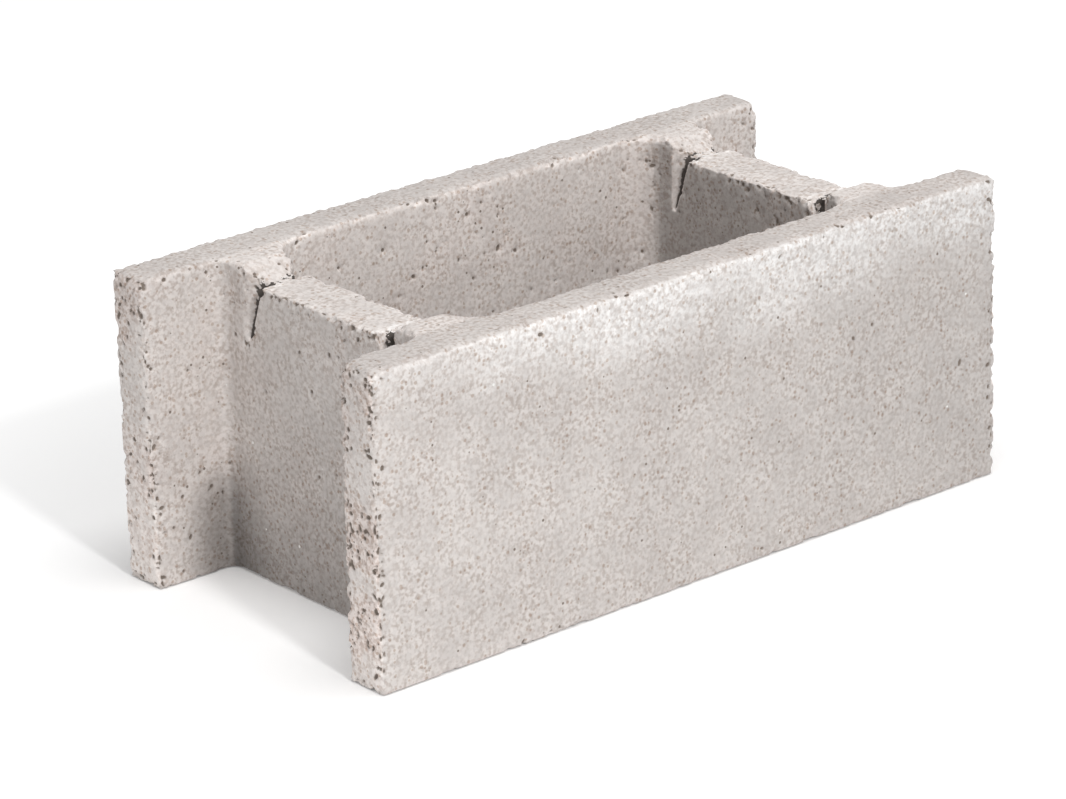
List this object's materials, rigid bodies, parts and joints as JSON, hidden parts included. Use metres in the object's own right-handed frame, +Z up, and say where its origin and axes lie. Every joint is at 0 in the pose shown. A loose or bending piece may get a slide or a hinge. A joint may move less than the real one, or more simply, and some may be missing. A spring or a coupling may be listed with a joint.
{
  "type": "concrete formwork block",
  "caption": "Open-ended concrete formwork block: tall face shells joined by set-back webs with bar seats and knock-out notches, laid dry in a wall and filled with concrete.",
  "frame": {"origin": "centre of the bed face that the block stands on", "axes": "+X along the wall, +Y through its thickness, +Z up, from the bed face to the seats"},
  "size_m": [0.5, 0.25, 0.2],
  "materials": {
    "concrete": "rough, sandy, as cast"
  },
  "bodies": {
    "root": {"formwork_block": "concrete"}
  },
  "joints": []
}
